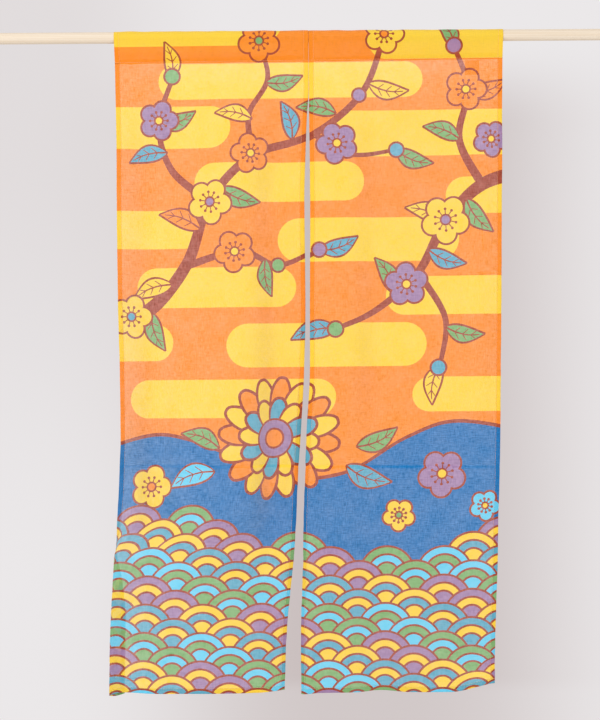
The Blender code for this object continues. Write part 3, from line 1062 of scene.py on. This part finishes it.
# %% [markdown]
# ## Printed cotton voile
#
# Voile is a plain weave of fine, hard-twisted cotton, thin enough to see through.
# Light does three things in it: some passes between the threads unchanged, some is
# scattered back by the dyed threads, and some glows through them. So the material
# mixes a Transparent, a rough Principled and a Translucent shader. Where the cloth
# is doubled, at hems and pocket, less white light gets through and its colours turn
# deeper, with nothing painted.

# %% Sizes of the weave
THREAD_PITCH = 2.6 * MM
SLUB_LENGTH = 15 * MM
SLUB_WIDTH = 2.4 * MM

# Where more of what lies behind shows through the cloth (above 0) or less (below 0):
# panel, middle (across, along), half length and half width in millimetres, turn, open
# share added. The rows below 0 lie along creases and darken them: painted crease shade.
OPEN_SHARE_AND_CREASE_SHADE = (
    ("left_panel", 0, 660, 900, 62, 90, 0.075),
    ("left_panel", 44, 1240, 300, 90, 88, 0.10),
    ("left_panel", 212, 0, 330, 56, 0, 0.06),
    ("right_panel", 212, 0, 330, 56, 0, 0.06),
    ("right_panel", 215, 230, 330, 140, 80, 0.04),
    ("right_panel", 240, 1290, 190, 120, 10, 0.03),
    # From here on the rows lie along creases: painted crease shade
    ("right_panel", 178, 889, 420, 5.5, 0.5, -0.15),
    ("left_panel", 366, 886, 60, 5.5, 0.5, -0.15),
    ("left_panel", 190, 884.6, 330, 5.0, 0.5, -0.09),
    ("right_panel", 398, 468.6, 44, 3.8, 0.5, -0.09),
    ("right_panel", 381, 376, 62, 2.8, 87, -0.08),
    ("right_panel", 394, 352, 60, 2.8, 88, -0.06),
    ("right_panel", 353, 212, 70, 4, 92, -0.05),
)

# %% More and less see-through places, with painted crease shade
def add_open_share_and_crease_shade(tree, flat, share):
    """Add the places where more shows through, and the lines of painted crease shade where less does, to an
    open share.
    """
    for panel, across, along, length, width, degrees, more in OPEN_SHARE_AND_CREASE_SHADE:
        middle = (across * MM + BOLT_PLACE[panel], along * MM, 0.0)
        local = add_node(tree, "ShaderNodeMapping", {
            "Vector": flat, "Location": middle, "Rotation": (0.0, 0.0, math.radians(degrees)),
            "Scale": (length * MM, width * MM, 1.0),
        }, vector_type="TEXTURE")
        patch = add_node(
            tree, "ShaderNodeTexGradient", {"Vector": local.outputs[0]}, gradient_type="SPHERICAL"
        )
        share = add_node(
            tree, "ShaderNodeMath", {0: patch.outputs["Fac"], 1: more, 2: share},
            operation="MULTIPLY_ADD",
        ).outputs[0]
    return share

# %% The voile's shaders
def cotton_voile():
    """Printed cotton voile: matt, see-through, with slubs in both directions.

    Its threads are about 0.4 mm apart, too fine to show, so they are drawn 2.6 mm apart.
    """
    material, tree, output = new_material("printed_cotton_voile")
    flat = add_node(tree, "ShaderNodeUVMap", uv_map="cloth").outputs[0]
    ink = add_node(tree, "ShaderNodeVertexColor", layer_name="ink").outputs["Color"]
    heights = []
    for size in ((1 / SLUB_WIDTH, 1 / SLUB_LENGTH, 1), (1 / SLUB_LENGTH, 1 / SLUB_WIDTH, 1)):
        spread = add_node(tree, "ShaderNodeMapping", {"Vector": flat, "Scale": size})
        slubs = add_node(
            tree, "ShaderNodeTexNoise", {"Vector": spread.outputs[0], "Scale": 1.0, "Detail": 3.0}
        )
        heights.append(slubs.outputs[0])
    both = add_node(tree, "ShaderNodeMath", {0: heights[0], 1: heights[1]}, operation="ADD").outputs[0]
    threads = []
    for side in ("X", "Y"):
        bands = add_node(
            tree, "ShaderNodeTexWave", {"Vector": flat, "Scale": 0.314 / THREAD_PITCH, "Distortion": 0.0},
            bands_direction=side,
        )
        threads.append(bands.outputs["Fac"])
    weave = add_node(tree, "ShaderNodeMath", {0: threads[0], 1: threads[1]}, operation="ADD").outputs[0]
    relief = add_node(tree, "ShaderNodeMath", {0: weave, 1: 0.25, 2: both}, operation="MULTIPLY_ADD")
    bump = add_node(
        tree, "ShaderNodeBump", {"Height": relief.outputs[0], "Strength": 0.35, "Distance": 0.5 * MM}
    ).outputs[0]
    patches = add_node(tree, "ShaderNodeTexNoise", {"Vector": flat, "Scale": 22.0, "Detail": 4.0})
    dyed = add_node(tree, "ShaderNodeMapRange", {0: patches.outputs[0], 1: 0.3, 2: 0.7, 3: 0.965, 4: 1.03})
    brightness = add_node(tree, "ShaderNodeRGBToBW", {0: ink})
    uneven = add_node(
        tree, "ShaderNodeMapRange", {0: brightness.outputs[0], 1: 0.12, 2: 0.6, 3: 1.0, 4: 0.2}
    )
    thinner = add_node(tree, "ShaderNodeMath", {0: both, 1: 1.0}, operation="SUBTRACT")
    streaks = add_node(
        tree, "ShaderNodeMath", {0: thinner.outputs[0], 1: uneven.outputs[0], 2: 1.0},
        operation="MULTIPLY_ADD",
    )
    tone = add_node(
        tree, "ShaderNodeMath", {0: dyed.outputs[0], 1: streaks.outputs[0]}, operation="MULTIPLY"
    )
    dye = add_node(
        tree, "ShaderNodeVectorMath", {0: ink, "Scale": tone.outputs[0]}, operation="SCALE"
    ).outputs[0]
    cloudy = add_node(
        tree, "ShaderNodeMapRange", {0: patches.outputs[0], 1: 0.3, 2: 0.7, 3: 0.105, 4: 0.185}
    )
    grainy = add_node(tree, "ShaderNodeMapRange", {0: both, 1: 0.7, 2: 1.3, 3: -0.09, 4: 0.09})
    even = add_node(tree, "ShaderNodeMath", {0: cloudy.outputs[0], 1: grainy.outputs[0]}, operation="ADD")
    # The open share, lowered along the creases as painted crease shade
    open_weave = add_open_share_and_crease_shade(tree, flat, even.outputs[0])
    body = add_node(tree, "ShaderNodeBsdfPrincipled", {
        "Base Color": dye, "Roughness": 0.88, "Specular IOR Level": 0.25,
        "Sheen Weight": 0.12, "Sheen Roughness": 0.6, "Normal": bump,
    })
    glowing = add_node(tree, "ShaderNodeBsdfTranslucent", {"Color": dye, "Normal": bump})
    threads_mix = add_node(tree, "ShaderNodeMixShader", {0: 0.06, 1: body.outputs[0], 2: glowing.outputs[0]})
    clear = add_node(tree, "ShaderNodeBsdfTransparent")
    voile = add_node(
        tree, "ShaderNodeMixShader", {0: open_weave, 1: threads_mix.outputs[0], 2: clear.outputs[0]}
    )
    tree.links.new(voile.outputs[0], output.inputs[0])
    return material


voile = cotton_voile()
print("material:", voile.name)

# %% Hang both panels
for panel in PANELS:
    piece = new_object(panel + "_cloth", panel_mesh(panel), voile)
    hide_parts(panel)
    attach(piece, "root")
    print(piece.name, len(piece.data.polygons), "triangles")

# %% [markdown]
# ## Sewing
#
# Every hem and the pocket are sewn with a pale peach cotton thread in short machine
# stitches. A texture of dashes would be flat, and each stitch is only a little rod
# that dips into the cloth at both ends, so they are meshes: one template, set along
# the seam line by its place, its direction and the way the cloth faces, and joined
# into one piece for each panel.

# %% Sewing thread material
def sewing_thread():
    """Spun cotton thread: soft and matt, with its twist as slanting ridges."""
    material, tree, output = new_material("peach_cotton_thread")
    place = add_node(tree, "ShaderNodeTexCoord").outputs["Object"]
    slant = add_node(tree, "ShaderNodeMapping", {"Vector": place, "Rotation": (0.0, 0.9, 0.6)})
    twist = add_node(tree, "ShaderNodeTexWave", {"Vector": slant.outputs[0], "Scale": 0.314 / (0.7 * MM)})
    bump = add_node(
        tree, "ShaderNodeBump", {"Height": twist.outputs["Fac"], "Strength": 0.4, "Distance": 0.1 * MM}
    )
    fluff = add_node(tree, "ShaderNodeTexNoise", {"Vector": place, "Scale": 300.0})
    tint = add_node(tree, "ShaderNodeMix", {
        0: fluff.outputs[0], 6: linear("#F4B68C"), 7: linear("#FBCDA6")
    }, data_type="RGBA")
    body = add_node(tree, "ShaderNodeBsdfPrincipled", {
        "Base Color": tint.outputs[2], "Roughness": 0.75, "Sheen Weight": 0.2, "Normal": bump.outputs[0]
    })
    tree.links.new(body.outputs[0], output.inputs[0])
    return material


peach_thread = sewing_thread()

# %% Stitch template and seams
STITCH_PITCH = 3.4 * MM
STITCH_LENGTH = 2.5 * MM
THREAD_RADIUS = 0.24 * MM
STITCH_SIDES = 6
SLIT_TOP_DROP = 113 * MM
TACK_BELOW = 173 * MM
# Share along the stitch, share of the thread's thickness, how deep it dips
STITCH_RINGS = ((-0.5, 0.35, 0.55), (-0.36, 0.9, 0.1), (0.0, 1.0, -0.1), (0.36, 0.9, 0.1), (0.5, 0.35, 0.55))


def seam_lines(panel):
    """The stitched lines of a panel: start and end of each in flat cloth."""
    foot = CLOTH_LENGTH - BOTTOM_HEM + 0.8 * MM
    hem = SIDE_HEM - 0.8 * MM
    far = PANEL_WIDTH - hem
    pocket = -3.2 * MM
    slit = far if panel == "left_panel" else hem
    slit_edge = PANEL_WIDTH - 1 * MM if panel == "left_panel" else 1 * MM
    slit_top = SLIT_TOP_DROP - SEAM_DROP_LEFT
    return (
        ((1 * MM, pocket), (PANEL_WIDTH - 1 * MM, pocket)),
        ((hem, 4 * MM), (hem, foot)),
        ((far, 4 * MM), (far, foot)),
        ((1 * MM, foot), (PANEL_WIDTH - 1 * MM, foot)),
        ((hem, -POCKET_CLOTH[panel] * 0.42), (hem, -5 * MM)),
        ((far, -POCKET_CLOTH[panel] * 0.42), (far, -5 * MM)),
        ((slit_edge, slit_top - 12 * MM), (slit_edge, slit_top + 6 * MM)),
        ((slit_edge, slit_top + TACK_BELOW), (slit, slit_top + TACK_BELOW)),
    )

# %% Sewing along a line
def sew(name, panel, lines, pitch, length, back):
    """Lay stitches along lines of the flat cloth, as one joined mesh."""
    vertices = []
    faces = []
    for start, end in lines:
        run = np.subtract(end, start)
        size = float(np.hypot(*run))
        count = max(1, int(size / pitch))
        shares = (np.arange(count) + 0.5) / count
        middles = np.array(start) + shares[:, None] * run
        step = run / size * 0.5 * MM
        here = hang(panel, middles[:, 0], middles[:, 1], back)
        ahead = hang(panel, *(middles + step).T, back) - hang(panel, *(middles - step).T, back)
        ahead /= np.linalg.norm(ahead, axis=1, keepdims=True)
        up = facing(panel, middles[:, 0], middles[:, 1], back) * (1 if back <= 0 else -1)
        side = np.cross(ahead, up)
        for share, thick, dip in STITCH_RINGS:
            for k in range(STITCH_SIDES):
                angle = 2 * math.pi * k / STITCH_SIDES
                rise = THREAD_RADIUS * (math.sin(angle) * thick - dip)
                sideways = THREAD_RADIUS * math.cos(angle) * thick
                vertices.append(here + ahead * share * length + up * rise + side * sideways)
        first = sum(len(block) for block in vertices[:-len(STITCH_RINGS) * STITCH_SIDES])
        for ring in range(len(STITCH_RINGS) - 1):
            for k in range(STITCH_SIDES):
                after = (k + 1) % STITCH_SIDES
                corners = (ring, k), (ring, after), (ring + 1, after), (ring + 1, k)
                starts = [first + (r * STITCH_SIDES + s) * count for r, s in corners]
                faces += [tuple(start + i for start in starts) for i in range(count)]
    mesh = bpy.data.meshes.new(name)
    mesh.from_pydata(np.concatenate(vertices).tolist(), [], faces)
    mesh.polygons.foreach_set("use_smooth", [True] * len(faces))
    mesh.update()
    piece = new_object(name, mesh, peach_thread)
    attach(piece, "root")
    return piece

# %% Sew the hems and the pocket
ON_FRONT = -0.25 * MM
ON_BACK = 0.95 * MM
for panel in PANELS:
    front = sew(panel + "_stitches", panel, seam_lines(panel), STITCH_PITCH, STITCH_LENGTH, ON_FRONT)
    rear = sew(panel + "_back_stitches", panel, seam_lines(panel)[1:4], STITCH_PITCH, STITCH_LENGTH, ON_BACK)
    print(front.name, len(front.data.polygons), "faces,", rear.name, len(rear.data.polygons), "faces")

# %% [markdown]
# ## The label
#
# A short piece of white woven tape is folded in half, and its ends are caught in
# the pocket seam behind the right panel. It shows through the voile as a small
# square. The tape is a sheet bent over at the fold, with a narrow ribbed weave, and
# it is left blank.

# %% Woven tape label
LABEL_LEFT = 343 * MM
LABEL_WIDTH = 31 * MM
LABEL_TOP_DROP = 54 * MM
LABEL_LENGTH = 32 * MM
LABEL_GAP = 0.55 * MM
LABEL_COLUMNS = 13
LABEL_ROWS = 26


def label_mesh():
    """The folded tape, from its front end down to the fold and up again behind."""
    points = []
    flats = []
    grid_x, grid_y = SECTIONS["right_panel"]
    for row in range(2 * LABEL_ROWS + 1):
        share = row / LABEL_ROWS - 1.0
        depth = 1.0 - abs(share)
        behind = LABEL_GAP + 0.45 * MM * float(smooth(-0.05, 0.05, share))
        for column in range(LABEL_COLUMNS):
            over = column / (LABEL_COLUMNS - 1)
            curl = 0.35 * MM * depth ** 2 * (2 * over - 1) ** 2
            drop = np.array([LABEL_TOP_DROP + depth * LABEL_LENGTH])
            distance = np.array([LABEL_LEFT + over * LABEL_WIDTH])
            x = float(read_grid(grid_x, drop, distance)[0])
            y = float(read_grid(grid_y, drop, distance)[0])
            points.append((x, y + behind + curl, -float(drop[0])))
            flats.append((over * LABEL_WIDTH, (share + 1) * LABEL_LENGTH))
    faces = []
    for row in range(2 * LABEL_ROWS):
        for column in range(LABEL_COLUMNS - 1):
            a = row * LABEL_COLUMNS + column
            faces.append((a, a + 1, a + 1 + LABEL_COLUMNS, a + LABEL_COLUMNS))
    mesh = bpy.data.meshes.new("label_tape")
    mesh.from_pydata(points, [], faces)
    tape_map = mesh.uv_layers.new(name="tape")
    for loop in mesh.loops:
        tape_map.data[loop.index].uv = flats[loop.vertex_index]
    mesh.polygons.foreach_set("use_smooth", [True] * len(faces))
    return mesh

# %% Woven tape material
def woven_tape():
    """White polyester satin tape: smooth, with ribs across it."""
    material, tree, output = new_material("white_woven_tape")
    flat = add_node(tree, "ShaderNodeUVMap", uv_map="tape").outputs[0]
    ribs = add_node(
        tree, "ShaderNodeTexWave", {"Vector": flat, "Scale": 0.314 / (0.9 * MM)}, bands_direction="Y"
    )
    fine = add_node(tree, "ShaderNodeTexNoise", {"Vector": flat, "Scale": 900.0})
    relief = add_node(
        tree, "ShaderNodeMath", {0: fine.outputs[0], 1: 0.6, 2: ribs.outputs["Fac"]},
        operation="MULTIPLY_ADD",
    )
    bump = add_node(
        tree, "ShaderNodeBump", {"Height": relief.outputs[0], "Strength": 0.5, "Distance": 0.15 * MM}
    )
    tint = add_node(tree, "ShaderNodeMix", {
        0: ribs.outputs["Fac"], 6: linear("#F4F2EE"), 7: linear("#FDFCFA")
    }, data_type="RGBA")
    body = add_node(tree, "ShaderNodeBsdfPrincipled", {
        "Base Color": tint.outputs[2], "Roughness": 0.45, "Sheen Weight": 0.1, "Normal": bump.outputs[0]
    })
    glowing = add_node(tree, "ShaderNodeBsdfTranslucent", {"Color": tint.outputs[2]})
    tape = add_node(tree, "ShaderNodeMixShader", {0: 0.12, 1: body.outputs[0], 2: glowing.outputs[0]})
    tree.links.new(tape.outputs[0], output.inputs[0])
    return material


label = new_object("label_tape", label_mesh(), woven_tape())
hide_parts("label")
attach(label, "root")
print("label:", len(label.data.polygons), "faces")

# %% [markdown]
# ## The pole
#
# The pole is a 25 mm dowel of pale softwood, turned and sanded, with its ends cut
# square. A plain cylinder would have knife edges and no ends to speak of, so the
# dowel is made as rings along its length: nearly straight, with a broken edge at
# each end. Grain runs along it as long thin streaks, and its ends show rings.

# %% Pale softwood
GRAIN_WIDTH = 2.2 * MM
GRAIN_LENGTH = 260 * MM
RING_PITCH = 2.4 * MM


def pale_softwood():
    """Sanded, unvarnished softwood: streaks along the pole, growth rings on its ends."""
    material, tree, output = new_material("pale_softwood")
    place = add_node(tree, "ShaderNodeTexCoord").outputs["Object"]
    along = add_node(tree, "ShaderNodeMapping", {
        "Vector": place, "Scale": (1 / GRAIN_LENGTH, 1 / GRAIN_WIDTH, 1 / GRAIN_WIDTH)
    })
    streaks = add_node(tree, "ShaderNodeTexNoise", {
        "Vector": along.outputs[0], "Scale": 1.0, "Detail": 5.0, "Distortion": 0.4
    })
    shifted = add_node(tree, "ShaderNodeMapping", {
        "Vector": place, "Location": (0.0, 9 * MM, 26 * MM), "Scale": (0.02, 1.0, 1.0)
    })
    rings = add_node(
        tree, "ShaderNodeTexWave",
        {"Vector": shifted.outputs[0], "Scale": 0.314 / RING_PITCH, "Distortion": 0.6, "Detail": 2.0},
        wave_type="RINGS", rings_direction="X",
    )
    blend = add_node(tree, "ShaderNodeMath", {
        0: rings.outputs["Fac"], 1: 0.35, 2: streaks.outputs[0]
    }, operation="MULTIPLY_ADD")
    tint = add_node(tree, "ShaderNodeValToRGB", {0: blend.outputs[0]})
    tint.color_ramp.elements[0].position = 0.3
    tint.color_ramp.elements[0].color = linear("#E9DECC")
    tint.color_ramp.elements[1].position = 0.95
    tint.color_ramp.elements[1].color = linear("#D9C7AD")
    bump = add_node(
        tree, "ShaderNodeBump", {"Height": streaks.outputs[0], "Strength": 0.25, "Distance": 0.3 * MM}
    )
    rough = add_node(tree, "ShaderNodeMapRange", {0: streaks.outputs[0], 3: 0.5, 4: 0.68})
    body = add_node(tree, "ShaderNodeBsdfPrincipled", {
        "Base Color": tint.outputs[0], "Roughness": rough.outputs[0], "Normal": bump.outputs[0],
        "Specular IOR Level": 0.35,
    })
    tree.links.new(body.outputs[0], output.inputs[0])
    return material

# %% Dowel
POLE_SIDES = 64
POLE_EDGE = 1.2 * MM
POLE_RINGS = 90
END_RINGS = (0.99, 0.75, 0.45, 0.15)

pole_low, pole_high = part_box("pole")


def dowel_profile():
    """Places along the pole and the radius at each, from one end to the other."""
    length = pole_high.x - pole_low.x
    ends = []
    for step in range(4):
        angle = math.radians(30 * step)
        ends.append((POLE_EDGE * (1 - math.cos(angle)), POLE_RADIUS - POLE_EDGE * (1 - math.sin(angle))))
    middle = [
        (POLE_EDGE + (length - 2 * POLE_EDGE) * i / POLE_RINGS, POLE_RADIUS)
        for i in range(1, POLE_RINGS)
    ]
    return ends + middle + [(length - place, radius) for place, radius in reversed(ends)]


def pole_mesh():
    """The dowel: rings of points along X, closed at the ends by smaller rings."""
    bm = bmesh.new()
    profile = dowel_profile()
    start_cap = [(profile[0][0], profile[0][1] * share) for share in reversed(END_RINGS)]
    end_cap = [(profile[-1][0], profile[-1][1] * share) for share in END_RINGS]
    rings = []
    for place, radius in start_cap + profile + end_cap:
        ring = []
        for k in range(POLE_SIDES):
            angle = 2 * math.pi * k / POLE_SIDES
            spot = (pole_low.x + place, radius * math.cos(angle), radius * math.sin(angle))
            ring.append(bm.verts.new(spot))
        rings.append(ring)
    for near, far in zip(rings, rings[1:]):
        for k in range(POLE_SIDES):
            j = (k + 1) % POLE_SIDES
            bm.faces.new((near[k], near[j], far[j], far[k]))
    bm.faces.new(rings[0][::-1])
    bm.faces.new(rings[-1])
    bmesh.ops.recalc_face_normals(bm, faces=bm.faces)
    mesh = bpy.data.meshes.new("wooden_pole")
    bm.to_mesh(mesh)
    bm.free()
    mesh.shade_smooth()
    mesh.set_sharp_from_angle(angle=math.radians(40))
    return mesh


pole = new_object("wooden_pole", pole_mesh(), pale_softwood())
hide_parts("pole")
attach(pole, "root")
print("pole:", len(pole.data.polygons), "faces")

# %% [markdown]
# A panel is cut with its two side hems, its bottom hem and the cloth of its
# pocket.

# %% [markdown]
# ## Light
#
# Large soft boxes give even light, as for a shop's picture of cloth. The main one
# stands in front to the left and above, a weaker one to the right, and one behind
# keeps the back of the cloth from going dull.

# %% Soft boxes
# Name, place, what it points at, width, height, power in watts
SOFT_BOXES = (
    ("main_soft_box", (-2.2, -3.4, 0.9), (0.0, 0.0, -0.7), 2.4, 2.4, 68.5),
    ("fill_soft_box", (2.6, -3.0, -0.2), (0.0, 0.0, -0.7), 2.0, 2.4, 23.0),
    ("back_soft_box", (1.0, 3.2, 0.8), (0.0, 0.0, -0.7), 2.4, 2.4, 15.4),
)
for name, place, target, width, height, power in SOFT_BOXES:
    lamp = bpy.data.lights.new(name, "AREA")
    lamp.shape = "RECTANGLE"
    lamp.size = width
    lamp.size_y = height
    lamp.energy = power
    box = bpy.data.objects.new(name, lamp)
    box.location = place
    heading = np.subtract(target, place)
    box.rotation_euler = (
        math.atan2(math.hypot(heading[0], heading[1]), -heading[2]), 0.0, math.atan2(-heading[0], heading[1])
    )
    box.visible_camera = False
    bpy.context.scene.collection.objects.link(box)
print(len(SOFT_BOXES), "soft boxes")

# %% Print the sizes and finish
dressed_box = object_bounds()
sizes = {
    "packed": [list(corner) for corner in packed_box],
    "dressed": [list(corner) for corner in dressed_box],
}
for name, (low, high) in sizes.items():
    print(name, [round((b - a) / MM, 1) for a, b in zip(low, high)], "mm")
